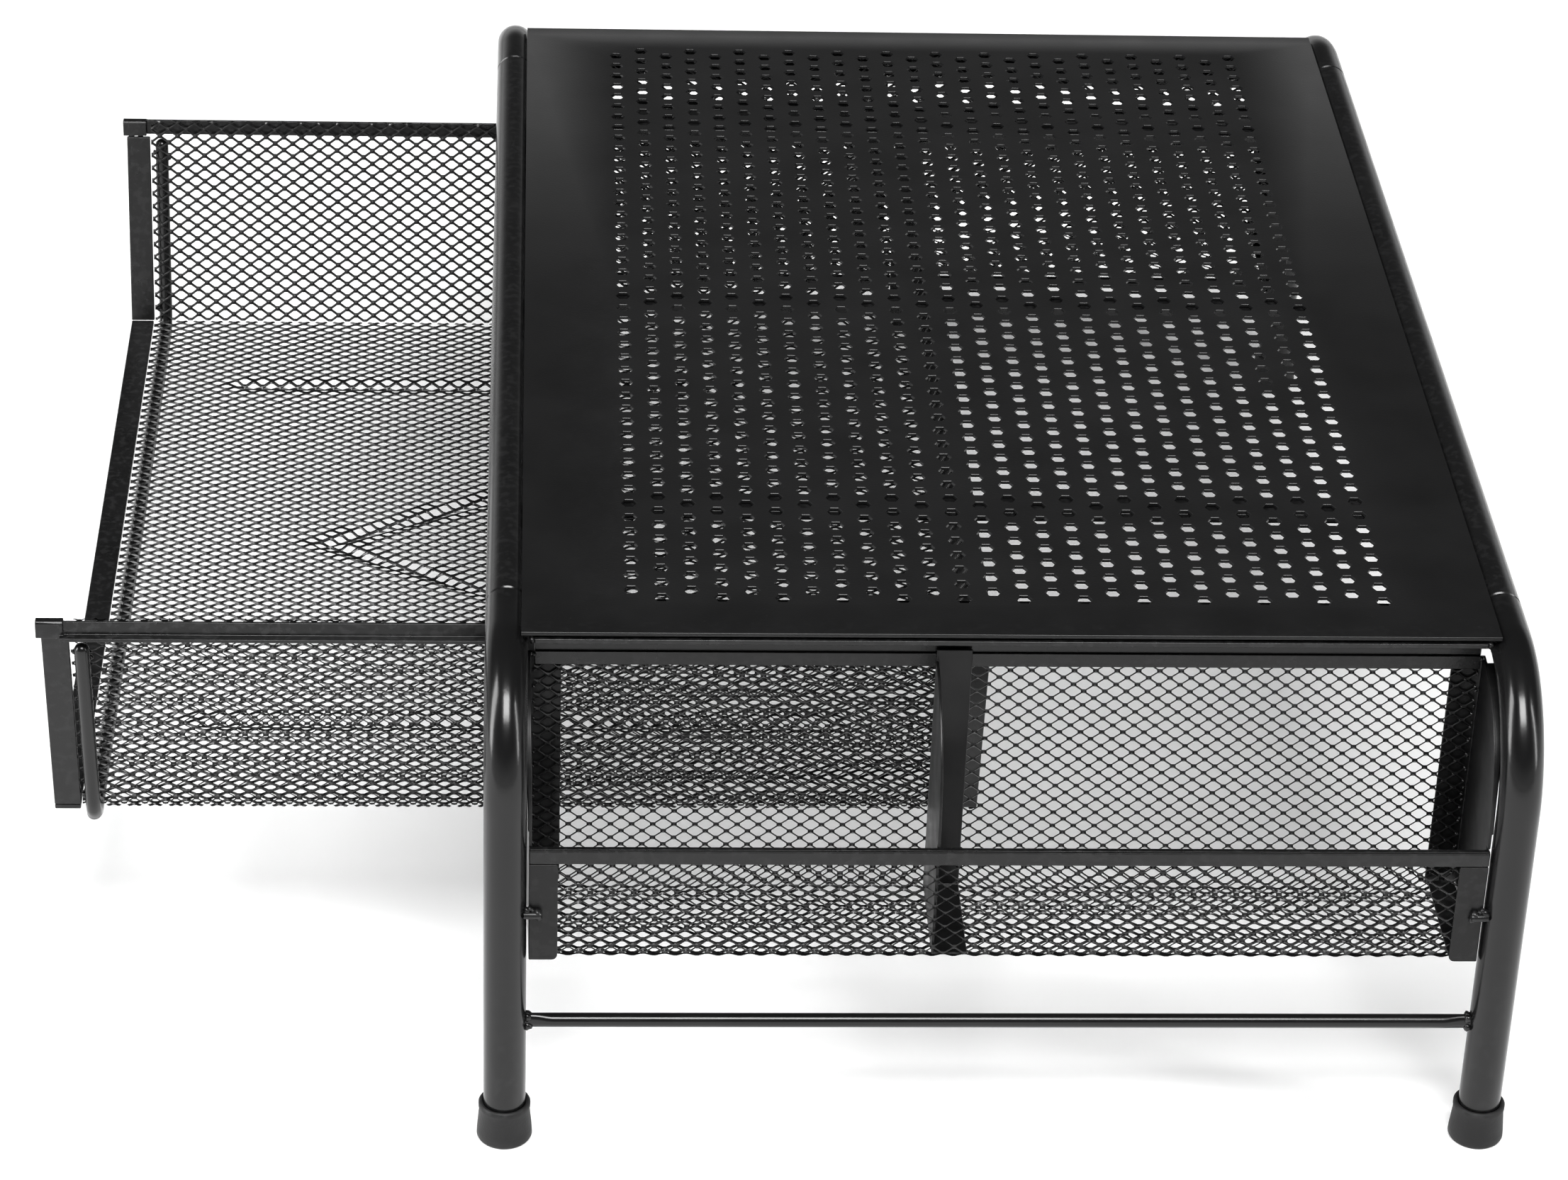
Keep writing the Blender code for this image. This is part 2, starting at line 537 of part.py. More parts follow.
def build_drawer_rod(material):
    """U shaped rod: down the outside of one side wall, under the floor and up the other."""
    x = DRAWER_FRONT_X + DRAWER_ROD_INSET
    gap = DRAWER_ROD_RADIUS + STRIP / 2 + CLEARANCE
    low_z = DRAWER_FLOOR_Z - 2 * STRIP - CLEARANCE - DRAWER_ROD_RADIUS
    top_y = wall_point(DRAWER_ROD_TOP_Z, gap)
    lean = math.atan((WALL_TOP_Y - DRAWER_FLOOR_Y) / (WALL_TOP_Z - DRAWER_FLOOR_Z))
    turn = math.pi / 2 - lean
    # Where the sloping run would meet the level run, and the bend's tangent length there.
    corner_y = wall_point(low_z, gap)
    tangent = ROD_BEND_RADIUS * math.tan(turn / 2)
    centre = Vector((x, corner_y - tangent, low_z + ROD_BEND_RADIUS))
    across = Vector((1, 0, 0))
    slope_out = Vector((0, math.cos(lean), -math.sin(lean)))
    half = []
    for drop, share in ROD_DOME:
        z = DRAWER_ROD_TOP_Z - drop * math.cos(lean)
        half.append((Vector((x, top_y - drop * math.sin(lean), z)), across, slope_out,
                     share * DRAWER_ROD_RADIUS))
    for i in range(BEND_STEPS + 1):
        angle = turn * i / BEND_STEPS + lean
        outward = Vector((0, math.cos(angle), -math.sin(angle)))
        half.append((centre + outward * ROD_BEND_RADIUS, across, outward, DRAWER_ROD_RADIUS))
    other = [(Vector((p.x, -p.y, p.z)), a, Vector((0, -n.y, n.z)), r) for p, a, n, r in reversed(half)]
    stations = [(point, a, n, r, r) for point, a, n, r in half + other]
    place("drawer_u_rod", sweep_mesh(stations, ROD_SIDES), material, smooth=True)


def main():
    clear_scene()
    tube = black_tube_paint()
    sheet = black_sheet_paint()
    mesh = black_mesh_paint()
    rubber = foot_rubber()

    for end in ENDS:
        build_top_tube(end, tube)
        for hand in SIDES:
            build_leg(end, hand, tube)
            build_foot_cap(end, hand, rubber)
    build_platform(sheet)
    for name, y in (("left", BRACE_Y), ("middle", 0.0), ("right", -BRACE_Y)):
        build_brace(f"cross_brace_{name}", y, sheet)

    for hand in SIDES:
        build_lower_rod(hand, tube)
        build_drawer_rail(hand, sheet)
        build_bin_top_rail(hand, sheet)
        build_bin_basket(hand, mesh)
        build_bin_lip_bar(hand, sheet)
        for end in ENDS:
            build_bin_end_plate(hand, end, sheet)
            build_bin_stud(hand, end, sheet)
        build_bin_divider(hand, sheet)
        build_drawer_rim(hand, sheet)
        build_drawer_side(hand, sheet, mesh)
    build_drawer_back_rim(sheet)
    build_drawer_back_mesh(mesh)
    build_drawer_floor(sheet, mesh)
    build_drawer_rod(tube)


main()
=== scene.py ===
"""Looks of the monitor riser stand: punched platform, expanded mesh panels, rounded steel
edges, welds and paint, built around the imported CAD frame. Metres, in the frame's axes."""
import json
import math
import random

import bmesh
import bpy
from mathutils import Matrix, Vector
from mathutils.geometry import delaunay_2d_cdt


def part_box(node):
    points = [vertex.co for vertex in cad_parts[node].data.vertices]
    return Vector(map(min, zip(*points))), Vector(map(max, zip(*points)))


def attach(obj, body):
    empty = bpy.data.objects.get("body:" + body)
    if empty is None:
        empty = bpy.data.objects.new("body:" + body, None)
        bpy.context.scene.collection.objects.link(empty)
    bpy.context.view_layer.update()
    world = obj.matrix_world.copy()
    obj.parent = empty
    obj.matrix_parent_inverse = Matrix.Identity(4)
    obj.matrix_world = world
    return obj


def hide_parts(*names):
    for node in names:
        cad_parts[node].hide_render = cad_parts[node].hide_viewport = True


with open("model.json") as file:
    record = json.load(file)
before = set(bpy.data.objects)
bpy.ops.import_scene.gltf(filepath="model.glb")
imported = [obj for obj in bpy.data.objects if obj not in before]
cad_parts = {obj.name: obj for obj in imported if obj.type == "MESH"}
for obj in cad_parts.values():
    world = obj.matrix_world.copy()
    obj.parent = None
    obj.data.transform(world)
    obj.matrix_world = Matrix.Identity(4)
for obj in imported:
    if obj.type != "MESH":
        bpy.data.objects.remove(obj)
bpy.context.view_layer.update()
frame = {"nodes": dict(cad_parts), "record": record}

# ---- sizes that the CAD frame doesn't hold ----
MM = 0.001
MESH_LONG = 6.0 * MM          # diamond pitch along the strands' long way
MESH_SHORT_WALL = 4.55 * MM   # diamond pitch up a wall
MESH_SHORT_FLOOR = 4.3 * MM   # and across the drawer's floor
STRAND = 0.70 * MM            # width of a mesh strand
MESH_THICK = 0.5 * MM
STRAND_TWIST = 0.2 * MM       # how far the two edges of a strand stand out of the sheet
HOLE_COLUMNS = 26             # punched holes of the platform, counted across its short way
HOLE_ROWS = 45                # holes in a short column; every second column has one more
HOLE_PITCH_X = 8.435 * MM
HOLE_PITCH_Y = 7.97 * MM
HOLE_WIDTH = 4.5 * MM         # corner to corner, across
HOLE_HEIGHT = 4.04 * MM       # flat to flat, lengthways
LIP_ROUND = 0.5 * MM          # rounding of the bar along a bin's front
EDGE_ROUND = 0.32 * MM        # rounding on folded and sheared steel edges
TUBE_SIDES, ROD_SIDES = 48, 24
WELDED = 1e-6                 # points closer than this are one point

ENDS, HANDS = ("front", "back"), ("left", "right")
SIDE = {"left": 1, "right": -1}           # which way a hand lies along Y
AWAY = {"front": -1, "back": 1}           # and an end along X
X_AXIS, Y_AXIS, Z_AXIS = Vector((1, 0, 0)), Vector((0, 1, 0)), Vector((0, 0, 1))


def box_of(node):
    """Low and high corner of a CAD piece."""
    low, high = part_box(node)
    return Vector(low), Vector(high)


def span_y(low, high):
    """Nearest and farthest distance from the middle plane of a box that lies on one side."""
    return tuple(sorted((abs(low.y), abs(high.y))))


LOW, HIGH = box_of("platform")
STAND_X = (LOW.x + HIGH.x) / 2
TOP_Z = HIGH.z


# ---- materials ----
def nodes_of(owner):
    owner.use_nodes = True
    return owner.node_tree.nodes, owner.node_tree.links


def noise(nodes, links, scale, detail, source):
    node = nodes.new("ShaderNodeTexNoise")
    node.inputs["Scale"].default_value = scale
    node.inputs["Detail"].default_value = detail
    links.new(source.outputs["Object"], node.inputs["Vector"])
    return node


def ramp(nodes, links, source, start, end):
    """Colour ramp between two stops of (position, colour)."""
    node = nodes.new("ShaderNodeValToRGB")
    for element, (position, colour) in zip(node.color_ramp.elements, (start, end)):
        element.position = position
        element.color = colour
    links.new(source, node.inputs["Fac"])
    return node


def blend(nodes, links, factor, base, colour):
    """Mixes a colour over the base socket by the factor socket."""
    node = nodes.new("ShaderNodeMix")
    node.data_type = "RGBA"
    links.new(factor, node.inputs["Factor"])
    links.new(base, node.inputs["A"])
    node.inputs["B"].default_value = colour
    return node.outputs["Result"]


def bumps(nodes, links, height, strength, distance):
    node = nodes.new("ShaderNodeBump")
    node.inputs["Strength"].default_value = strength
    node.inputs["Distance"].default_value = distance
    links.new(height, node.inputs["Height"])
    return node


def level(value):
    return (value, value, value, 1.0)


def grey(value):
    """A grey with a trace of blue."""
    return (value, value, value * 1.02, 1.0)


def paint(name, tone, roughness, spread, grain, bump, wear, speck=0.0, gloss_level=0.5, waves=0.0):
    """Black coating: faint mottling, fine grain, duller and brighter patches, rubbed edges."""
    material = bpy.data.materials.new(name)
    nodes, links = nodes_of(material)
    shader = nodes["Principled BSDF"]
    shader.inputs["Base Color"].default_value = grey(tone)
    shader.inputs["Roughness"].default_value = roughness
    shader.inputs["IOR"].default_value = 1.5
    shader.inputs["Specular IOR Level"].default_value = gloss_level
    coords = nodes.new("ShaderNodeTexCoord")

    cloud = noise(nodes, links, 38.0, 4.0, coords)
    colour = ramp(nodes, links, cloud.outputs["Fac"],
                  (0.32, grey(tone * 0.82)), (0.68, grey(tone * 1.2)))
    geometry = nodes.new("ShaderNodeNewGeometry")
    edge = ramp(nodes, links, geometry.outputs["Pointiness"], (0.53, level(0)), (0.60, level(1)))
    scuff = noise(nodes, links, 420.0, 3.0, coords)
    scuffed = ramp(nodes, links, scuff.outputs["Fac"], (0.50, level(0)), (0.62, level(wear)))
    rubbed = nodes.new("ShaderNodeMath")
    rubbed.operation = "MULTIPLY"
    links.new(edge.outputs["Color"], rubbed.inputs[0])
    links.new(scuffed.outputs["Color"], rubbed.inputs[1])
    coat = blend(nodes, links, rubbed.outputs[0], colour.outputs["Color"], grey(tone * 4.5))
    if speck:
        dust = nodes.new("ShaderNodeTexVoronoi")
        dust.inputs["Scale"].default_value = 260.0
        links.new(coords.outputs["Object"], dust.inputs["Vector"])
        dots = ramp(nodes, links, dust.outputs["Distance"], (0.0, level(speck)), (0.07, level(0)))
        coat = blend(nodes, links, dots.outputs["Color"], coat, grey(tone * 5))
    links.new(coat, shader.inputs["Base Color"])

    patches = noise(nodes, links, 75.0, 2.0, coords)
    gloss = nodes.new("ShaderNodeMapRange")
    gloss.inputs["From Min"].default_value = 0.3
    gloss.inputs["From Max"].default_value = 0.7
    gloss.inputs["To Min"].default_value = roughness - spread
    gloss.inputs["To Max"].default_value = roughness + spread
    links.new(patches.outputs["Fac"], gloss.inputs["Value"])
    links.new(gloss.outputs["Result"], shader.inputs["Roughness"])

    fine = noise(nodes, links, grain, 2.0, coords)
    relief = bumps(nodes, links, fine.outputs["Fac"], bump, 0.2 * MM)
    if waves:
        dents = noise(nodes, links, 55.0, 1.0, coords)
        hammered = bumps(nodes, links, dents.outputs["Fac"], waves, 2 * MM)
        links.new(hammered.outputs["Normal"], relief.inputs["Normal"])
    links.new(relief.outputs["Normal"], shader.inputs["Normal"])
    return material


TUBE_PAINT = paint("tube_paint", 0.0045, 0.20, 0.03, 900.0, 0.06, 0.5, gloss_level=0.33)
SHEET_PAINT = paint("sheet_paint", 0.0045, 0.28, 0.05, 1100.0, 0.12, 0.6, gloss_level=0.30)
PLATE_PAINT = paint("plate_paint", 0.0045, 0.34, 0.06, 1100.0, 0.12, 0.6,
                    gloss_level=0.22, waves=0.4)
PLATFORM_PAINT = paint("platform_paint", 0.0060, 0.34, 0.015, 1500.0, 0.12, 0.06,
                       speck=0.5, gloss_level=0.28)
MESH_PAINT = paint("mesh_paint", 0.0040, 0.27, 0.05, 700.0, 0.08, 0.5, gloss_level=0.32)
RUBBER = paint("rubber", 0.010, 0.60, 0.08, 1300.0, 0.35, 0.6, speck=0.35, gloss_level=0.25)


# ---- building blocks ----
def finish_piece(name, bm, material, body, replaces=(), smooth_angle=35.0):
    """Makes the visible piece: edges up to smooth_angle degrees are shaded smooth."""
    mesh = bpy.data.meshes.new(name)
    bm.to_mesh(mesh)
    bm.free()
    mesh.materials.append(material)
    mesh.shade_smooth()
    mesh.set_sharp_from_angle(angle=math.radians(smooth_angle))
    piece = bpy.data.objects.new(name, mesh)
    bpy.context.scene.collection.objects.link(piece)
    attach(piece, body)
    if replaces:
        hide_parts(*replaces)
    return piece


def join_rings(bm, first, second):
    for i, vert in enumerate(first):
        j = (i + 1) % len(first)
        bm.faces.new((vert, first[j], second[j], second[i]))


def cap_ends(bm, rings):
    bm.faces.new(rings[0][::-1])
    bm.faces.new(rings[-1])


def ring(bm, centre, across, up, half_across, half_up, sides):
    verts = []
    for i in range(sides):
        angle = 2 * math.pi * i / sides
        offset = across * (half_across * math.cos(angle)) + up * (half_up * math.sin(angle))
        verts.append(bm.verts.new(centre + offset))
    return verts


def sweep(bm, stations, sides):
    """Tube or bar through stations of (centre, across, up, half_across, half_up)."""
    rings = [ring(bm, *station, sides) for station in stations]
    for first, second in zip(rings, rings[1:]):
        join_rings(bm, first, second)
    cap_ends(bm, rings)
    bmesh.ops.recalc_face_normals(bm, faces=bm.faces)


def body_of_node(node):
    for body, names in frame["record"]["behaviour"]["bodies"].items():
        if node in names:
            return body
    raise KeyError(node)


def rounded_copy(node, material, width=EDGE_ROUND, extra=None):
    """A copy of a folded or sheared CAD piece with every edge rounded over."""
    bm = bmesh.new()
    bm.from_mesh(frame["nodes"][node].data)
    bmesh.ops.remove_doubles(bm, verts=bm.verts, dist=WELDED)
    bmesh.ops.dissolve_limit(bm, angle_limit=math.radians(1), verts=bm.verts, edges=bm.edges)
    if extra:
        extra(bm)
    piece = finish_piece(f"look_{node}", bm, material, body_of_node(node),
                         [node], 40.0)
    bevel = piece.modifiers.new("round", "BEVEL")
    bevel.width = width
    bevel.segments = 2
    bevel.limit_method = "ANGLE"
    bevel.angle_limit = math.radians(40)
    bevel.harden_normals = True
    return piece


# ---- expanded mesh ----
def diamond_sheet(u_range, v_range, short, twist):
    """Flat expanded mesh as (points, faces): each strand is a ridge between diamond holes.
    Points are (u, v, h), with h the height out of the sheet."""
    half_u, half_v, half_h = MESH_LONG / 2, short / 2, MESH_THICK / 2
    reach = half_u * half_v / math.hypot(half_u, half_v)      # centre of a diamond to its side
    inner = 1 - STRAND / 2 / reach
    hole_u, hole_v = half_u * inner, half_v * inner
    cut_u, cut_v = 0.10, 0.20             # how much of the hole's corners is cut off, along u and v
    corner = []
    for su, sv in ((1, 1), (-1, 1), (-1, -1), (1, -1)):
        side = [(su * hole_u * (1 - cut_u), sv * hole_v * cut_u),
                (su * hole_u * cut_v, sv * hole_v * (1 - cut_v))]
        corner += side if su * sv > 0 else side[::-1]
    first_i, last_i = math.floor(u_range[0] / half_u) - 1, math.ceil(u_range[1] / half_u) + 1
    first_j, last_j = math.floor(v_range[0] / half_v) - 1, math.ceil(v_range[1] / half_v) + 1
    points, faces, knots = [], [], {}

    def knot(i, j, side):
        if (i, j, side) not in knots:
            knots[(i, j, side)] = len(points)
            points.append((i * half_u, j * half_v, side * half_h))
        return knots[(i, j, side)]

    for i in range(first_i, last_i + 1):
        for j in range(first_j, last_j + 1):
            if (i + j) % 2:
                continue
            hole = range(len(points), len(points) + 8)
            points += [(i * half_u + u, j * half_v + v, math.copysign(twist, -v))
                       for u, v in corner]
            for side in (1, -1):
                tips = [knot(i + di, j + dj, side) for di, dj in ((1, 0), (0, 1), (-1, 0), (0, -1))]
                for k, tip in enumerate(tips):
                    a, b, last = hole[2 * k], hole[2 * k + 1], hole[2 * k - 1]
                    strand = (tip, tips[(k + 1) % 4], b, a)
                    web = (tip, a, last)
                    faces += [strand, web] if side > 0 else [strand[::-1], web[::-1]]
    return points, faces


def mesh_sheet(u_range, v_range, short, outline=None, twist=STRAND_TWIST):
    """Expanded mesh cut to a convex outline in (u, v), or to the ranges."""
    points, faces = diamond_sheet(u_range, v_range, short, twist)
    data = bpy.data.meshes.new("sheet")
    data.from_pydata(points, [], faces)
    bm = bmesh.new()
    bm.from_mesh(data)
    bpy.data.meshes.remove(data)
    if outline is None:
        outline = [(u_range[0], v_range[0]), (u_range[1], v_range[0]),
                   (u_range[1], v_range[1]), (u_range[0], v_range[1])]
    for (u0, v0), (u1, v1) in zip(outline, outline[1:] + outline[:1]):
        outward = Vector((v1 - v0, u0 - u1, 0))
        bmesh.ops.bisect_plane(bm, geom=bm.verts[:] + bm.edges[:] + bm.faces[:], dist=1e-7,
                               plane_co=(u0, v0, 0), plane_no=outward, clear_outer=True)
    return bm


CORNER_STEPS = 4


def bent(profile, radius):
    """Function from length along a folded profile to (point, outward), and the full length.
    Outward is the right-hand side of the walk. Corners are rounded over radius each way."""
    points = [Vector(profile[0])]
    for before, corner, after in zip(profile, profile[1:], profile[2:]):
        corner = Vector(corner)
        start = corner + (Vector(before) - corner).normalized() * radius
        end = corner + (Vector(after) - corner).normalized() * radius
        for step in range(CORNER_STEPS + 1):
            t = step / CORNER_STEPS
            points.append(start.lerp(corner, t).lerp(corner.lerp(end, t), t))
    points.append(Vector(profile[-1]))
    lengths = [0.0]
    for a, b in zip(points, points[1:]):
        lengths.append(lengths[-1] + (b - a).length)

    def at(distance):
        k = 0
        while k < len(points) - 2 and lengths[k + 1] < distance:
            k += 1
        along = (points[k + 1] - points[k]).normalized()
        return points[k] + along * (distance - lengths[k]), Vector((along.y, -along.x))

    return at, lengths[-1]


def finish_mesh(node, bm, body):
    bmesh.ops.recalc_face_normals(bm, faces=bm.faces)
    finish_piece(f"look_{node}", bm, MESH_PAINT, body, [node], 60.0)


# ---- platform ----
SHEET = 0.9 * MM
CREASE = 6 * MM               # from the end of the platform to the crease across it
CREASE_STEP = 0.2 * MM        # the doubled end is this much lower than the top
CREASE_RUN = 0.5 * MM         # and the step takes this length
HEM = 1.3 * MM                # thickness of the doubled end
NOSE_STEPS = 6
HOLE_FLAT = 0.45 * MM         # width of the dented sheet around a punched hole
HOLE_ROLL = 0.13 * MM         # rounding of its mouth


def hexagon(x, y, grow):
    """Corners of a punched hole, pointing across the platform, made larger by grow."""
    half_x, half_y = HOLE_WIDTH / 2 + grow, HOLE_HEIGHT / 2 + grow
    corners = ((1, 0), (0.5, 1), (-0.5, 1), (-1, 0), (-0.5, -1), (0.5, -1))
    return [(x + cx * half_x, y + cy * half_y) for cx, cy in corners]


def hole_centres():
    """Rows of holes across the platform, each column shifted by half a pitch."""
    for column in range(HOLE_COLUMNS):
        x = STAND_X + (column - (HOLE_COLUMNS - 1) / 2) * HOLE_PITCH_X
        rows = HOLE_ROWS + column % 2
        for row in range(rows):
            yield x, (row - (rows - 1) / 2) * HOLE_PITCH_Y


def hem_profile(y_end):
    """(y, z) from the crease round the rolled end and back under, for the +Y end.
    A fine groove runs along the nose, where the sheet is folded on itself."""
    nose = HEM / 4
    top = TOP_Z - CREASE_STEP
    points = [(y_end - CREASE, TOP_Z), (y_end - CREASE + CREASE_RUN, top)]
    for centre_z, start, end in ((top - nose, 90, -50), (top - 3 * nose, 50, -90)):
        for step in range(NOSE_STEPS + 1):
            angle = math.radians(start + (end - start) * step / NOSE_STEPS)
            points.append((y_end - nose + nose * math.cos(angle),
                           centre_z + nose * math.sin(angle)))
    points += [(y_end - CREASE + CREASE_RUN, top - HEM), (y_end - CREASE, TOP_Z - SHEET)]
    return points


def build_platform():
    """Punched sheet with a crease near each short side and rolled ends."""
    crease_y = HIGH.y - CREASE
    rim = [(LOW.x, -crease_y), (HIGH.x, -crease_y), (HIGH.x, crease_y), (LOW.x, crease_y)]
    centres = list(hole_centres())
    coords = [Vector(p) for p in rim]
    holes = []
    for x, y in centres:
        holes.append(list(range(len(coords), len(coords) + 6)))
        coords += [Vector(p) for p in hexagon(x, y, HOLE_FLAT)]
    edges = [(0, 1), (1, 2), (2, 3), (3, 0)]
    points, _, faces, _, _, from_faces = delaunay_2d_cdt(coords, edges, holes, 1, 1e-7)

    bm = bmesh.new()
    skins = []
    for z, flip in ((TOP_Z, 1), (TOP_Z - SHEET, -1)):
        verts = [bm.verts.new((p.x, p.y, z)) for p in points]
        for face, source in zip(faces, from_faces):
            if not source:
                bm.faces.new([verts[k] for k in face[::flip]])
        skins.append(verts)
    for (x, y), hole in zip(centres, holes):
        rings = [[skins[0][k] for k in hole]]
        for grow, depth in ((HOLE_ROLL, 0.0), (0.0, HOLE_ROLL), (0.0, SHEET)):
            rings.append([bm.verts.new((px, py, TOP_Z - depth)) for px, py in hexagon(x, y, grow)])
        rings.append([skins[1][k] for k in hole])
        for first, second in zip(rings, rings[1:]):
            join_rings(bm, first, second)
    bmesh.ops.recalc_face_normals(bm, faces=bm.faces)

    profile = hem_profile(HIGH.y)
    for sign in (1, -1):
        lines = [[bm.verts.new((x, sign * y, z)) for y, z in profile] for x in (LOW.x, HIGH.x)]
        for k in range(len(profile) - 1):
            quad = [lines[0][k], lines[0][k + 1], lines[1][k + 1], lines[1][k]]
            bm.faces.new(quad if sign < 0 else quad[::-1])
        for line, flip in ((lines[0], -sign), (lines[1], sign)):
            bm.faces.new(line[::flip])
    for x in (LOW.x, HIGH.x):
        bm.faces.new([bm.verts.new((x, y, z)) for y, z in
                      ((-crease_y, TOP_Z), (crease_y, TOP_Z),
                       (crease_y, TOP_Z - SHEET), (-crease_y, TOP_Z - SHEET))])
    bmesh.ops.remove_doubles(bm, verts=bm.verts, dist=WELDED)
    bmesh.ops.recalc_face_normals(bm, faces=bm.faces)
    finish_piece("punched_platform", bm, PLATFORM_PAINT, "stand",
                 ["platform"], 25.0)


# ---- tubes, rods and feet ----
BEND_RADIUS = 35 * MM
BEND_STEPS = 28
SEAM_LIP = 0.35 * MM          # rounded mouth where a leg meets the top tube
SWAGE = 1.5 * MM              # how much thinner a leg's end is inside the top tube
SWAGE_LENGTH = 3 * MM         # as much of it as is made
CAP_WALL_TAPER = 0.6 * MM     # a cap's sole is this much wider all round than its mouth
CAP_BORE = 6.1 * MM           # half the hole for the leg
ROD_PINCH = 8 * MM            # length over which a lower rod's ends are pressed flat
LOWER_ROD_RADIUS = 2.05 * MM
U_ROD_RADIUS = 2.2 * MM
U_ROD_BEND = 6 * MM
U_ROD_STEPS = 120
U_ROD_TIP = (0.0, 0.15, 0.5, 1.0, 1.6)    # millimetres from the tip, where its rounding is cut
POST_WALL = 1.2 * MM          # thickness of a drawer post's flange


def finish_rod(node, stations, sides, body):
    bm = bmesh.new()
    sweep(bm, stations, sides)
    finish_piece(f"look_{node}", bm, TUBE_PAINT, body, [node])


def build_top_tube(end):
    node = f"{end}_top_tube"
    low, high = box_of(node)
    centre, radius = (low + high) / 2, (high.z - low.z) / 2
    stations = []
    for y, shrink in ((low.y, 1), (low.y + SEAM_LIP, 0), (high.y - SEAM_LIP, 0), (high.y, 1)):
        r = radius - shrink * SEAM_LIP
        stations.append((Vector((centre.x, y, centre.z)), X_AXIS, Z_AXIS, r, r))
    finish_rod(node, stations, TUBE_SIDES, "stand")


def build_leg(end, hand):
    """Leg with its quarter bend, from the seam in the top rail down into the foot cap."""
    node = f"leg_{end}_{hand}"
    low, high = box_of(node)
    sign = SIDE[hand]
    radius, x = (high.x - low.x) / 2, (high.x + low.x) / 2
    leg_y, axis_z = span_y(low, high)[1] - radius, high.z - radius
    seam = box_of(f"{end}_top_tube")[1].y + EDGE_ROUND
    stations = []
    for y, r in ((seam - SWAGE_LENGTH, radius - SWAGE), (seam, radius - SWAGE),
                 (seam, radius - SEAM_LIP), (seam + SEAM_LIP, radius),
                 (leg_y - BEND_RADIUS, radius)):
        stations.append((Vector((x, sign * y, axis_z)), X_AXIS, Z_AXIS, r, r))
    turn = Vector((x, sign * (leg_y - BEND_RADIUS), axis_z - BEND_RADIUS))
    for i in range(1, BEND_STEPS + 1):
        angle = math.pi / 2 * i / BEND_STEPS
        outward = Vector((0, sign * math.sin(angle), math.cos(angle)))
        stations.append((turn + outward * BEND_RADIUS, X_AXIS, outward, radius, radius))
    foot = Vector((x, sign * leg_y, low.z))
    stations.append((foot, X_AXIS, sign * Y_AXIS, radius, radius))
    finish_rod(node, stations, TUBE_SIDES, "stand")


def build_foot_cap(end, hand):
    """Moulded rubber cup: a bead at the mouth, a slight taper and a rounded sole."""
    node = f"foot_cap_{end}_{hand}"
    low, high = box_of(node)
    centre = (low + high) / 2
    sole, height = (high.x - low.x) / 2, high.z - low.z
    mouth = sole - CAP_WALL_TAPER
    profile = [(0.5 * sole, 0), (sole - 1.0 * MM, 0), (sole - 0.35 * MM, 0.25 * MM),
               (sole, 1.0 * MM), (sole - 0.1 * MM, 0.25 * height),
               (mouth - 0.1 * MM, height - 2.3 * MM), (mouth + 0.1 * MM, height - 1.8 * MM),
               (mouth + 0.1 * MM, height - 0.6 * MM), (mouth - 0.3 * MM, height - 0.1 * MM),
               (mouth - 0.6 * MM, height), (CAP_BORE + 0.2 * MM, height - 0.1 * MM),
               (CAP_BORE, height - 0.5 * MM), (CAP_BORE, 3 * MM)]
    stations = [(Vector((centre.x, centre.y, low.z + z)), X_AXIS, Y_AXIS, r, r)
                for r, z in profile]
    bm = bmesh.new()
    sweep(bm, stations, TUBE_SIDES)
    finish_piece(f"look_{node}", bm, RUBBER, "stand", [node], 50.0)


def rod_radius(distance, radius, pinch):
    """Half sizes of a rod that is pressed flat over its last stretch: (thin, wide)."""
    t = min(max(distance / pinch, 0.0), 1.0)
    ease = t * t * (3 - 2 * t)
    return radius * (0.72 + 0.28 * ease), radius * (1.1 - 0.1 * ease)


def build_lower_rod(hand):
    """Straight rod between two legs, with its ends pressed flat where they are welded."""
    node = f"lower_cross_rod_{hand}"
    low, high = box_of(node)
    centre = (low + high) / 2
    reach, flat = (high.x - low.x) / 2 + 0.5 * MM, 2 * MM
    steps = [i * MM for i in range(round(ROD_PINCH / MM) + 1)]
    stations = []
    for x in [-reach + step for step in steps] + [reach - step for step in steps[::-1]]:
        thin, wide = rod_radius(reach - abs(x) - flat, LOWER_ROD_RADIUS, ROD_PINCH - flat)
        stations.append((Vector((centre.x + x, centre.y, centre.z)), Y_AXIS, Z_AXIS, thin, wide))
    finish_rod(node, stations, ROD_SIDES, "stand")


def post_slope(end):
    """How far the drawer's side leans outward for each metre up, from a corner post."""
    low, high = box_of(f"drawer_{end}_post_left")
    return (high.y - low.y - POST_WALL) / (high.z - low.z)


def build_u_rod():
    """Rod bent under the drawer, with a rounded tip at the top of each side."""
    low, high = box_of("drawer_u_rod")
    radius = U_ROD_RADIUS
    x, level_z = (low.x + high.x) / 2, low.z + radius
    tip = Vector((high.y - radius - 0.1 * MM, high.z))
    corner = Vector((tip.x - post_slope("front") * (tip.y - level_z), level_z))
    at, length = bent([tip, corner, (-corner.x, corner.y), (-tip.x, tip.y)], U_ROD_BEND)
    tips = [distance * MM for distance in U_ROD_TIP]
    straight = [radius + (length - 2 * radius) * i / U_ROD_STEPS for i in range(U_ROD_STEPS + 1)]
    stations = []
    for distance in tips + straight + [length - distance for distance in tips[::-1]]:
        spot, outward = at(distance)
        inside = min(distance, length - distance, radius) / radius
        r = max(radius * math.sqrt(1 - (1 - inside) ** 2), 0.25 * MM)
        stations.append((Vector((x, *spot)), X_AXIS, Vector((0, *outward)), r, r))
    finish_rod("drawer_u_rod", stations, ROD_SIDES, "drawer")


